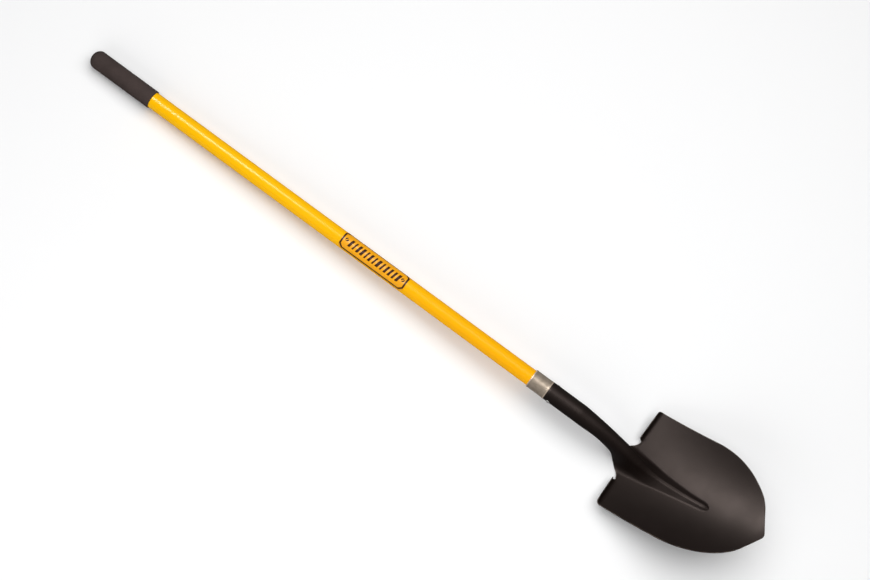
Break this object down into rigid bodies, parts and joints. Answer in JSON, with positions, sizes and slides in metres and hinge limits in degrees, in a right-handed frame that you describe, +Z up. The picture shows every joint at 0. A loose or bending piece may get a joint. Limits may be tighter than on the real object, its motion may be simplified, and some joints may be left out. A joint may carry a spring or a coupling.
{
  "type": "round point shovel",
  "caption": "Long straight-handled digging shovel: pressed round point steel blade with frog, open-back socket, steel collar, rivet, fibreglass tube handle and foam grip.",
  "frame": {"origin": "centre of the bounding box's underside, on the floor the shovel lies on", "axes": "+X along the handle from the grip to the blade's point, +Y to the blade's left foot rest seen from the grip with the dish up, +Z up, out of the dish"},
  "size_m": [1.5106, 0.217, 0.1124],
  "materials": {
    "blade_coat": "dark brown-black powder coat, satin",
    "collar_steel": "zinc-plated steel, satin",
    "rivet_steel": "plain zinc-plated steel",
    "shaft_resin": "glossy yellow fibreglass with fine lengthwise grain",
    "plug_wood": "plain turned hardwood dowel",
    "plug_plastic": "black moulded plastic",
    "grip_foam": "matte dark brown-grey foam rubber",
    "label_film": "printed film, black on amber"
  },
  "bodies": {
    "root": {"blade": "blade_coat", "collar": "collar_steel", "rivet": "rivet_steel", "shaft": "shaft_resin", "socket_plug": "plug_wood", "top_plug": "plug_plastic", "grip": "grip_foam", "label": "label_film"}
  },
  "joints": []
}
